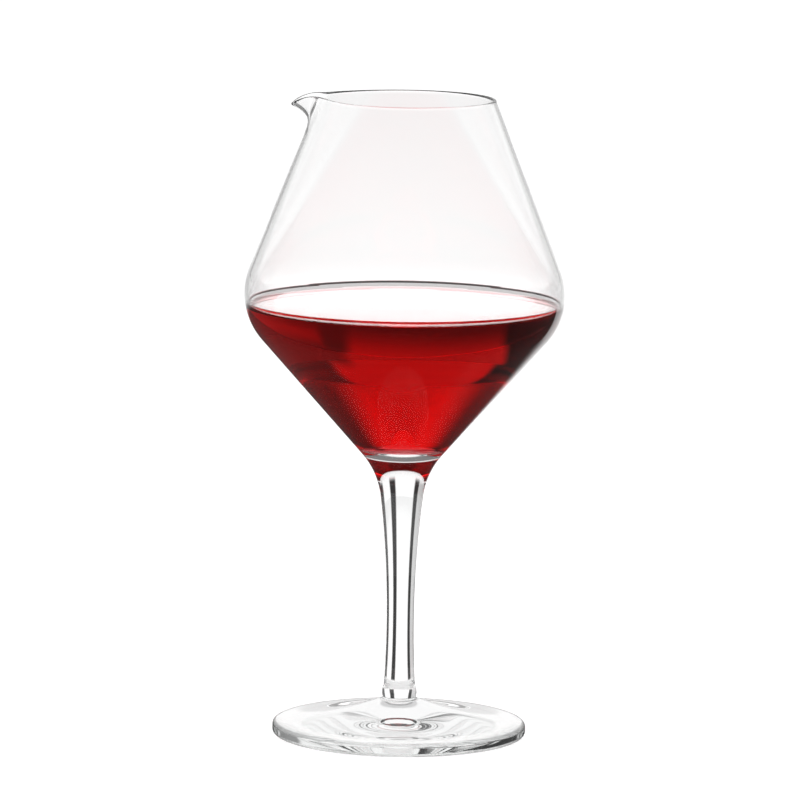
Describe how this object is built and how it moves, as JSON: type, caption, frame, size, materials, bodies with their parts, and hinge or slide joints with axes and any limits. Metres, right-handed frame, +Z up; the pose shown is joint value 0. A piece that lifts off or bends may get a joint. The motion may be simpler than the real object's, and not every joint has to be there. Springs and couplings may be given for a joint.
{
  "type": "stemmed wine carafe",
  "caption": "Stemmed glass carafe with a wide belly, a pulled pouring lip and a round foot, filled with red wine to its widest point.",
  "frame": {"origin": "centre of the foot, on the surface that it stands on", "axes": "+Z up along the stem's axis; the pouring lip points along -X"},
  "size_m": [0.167, 0.167, 0.3361],
  "materials": {
    "clear_glass": "clear blown glass, fire-polished rim",
    "red_wine": "clear red liquid"
  },
  "bodies": {
    "root": {"carafe_glass": "clear_glass", "wine": "red_wine"}
  },
  "joints": []
}
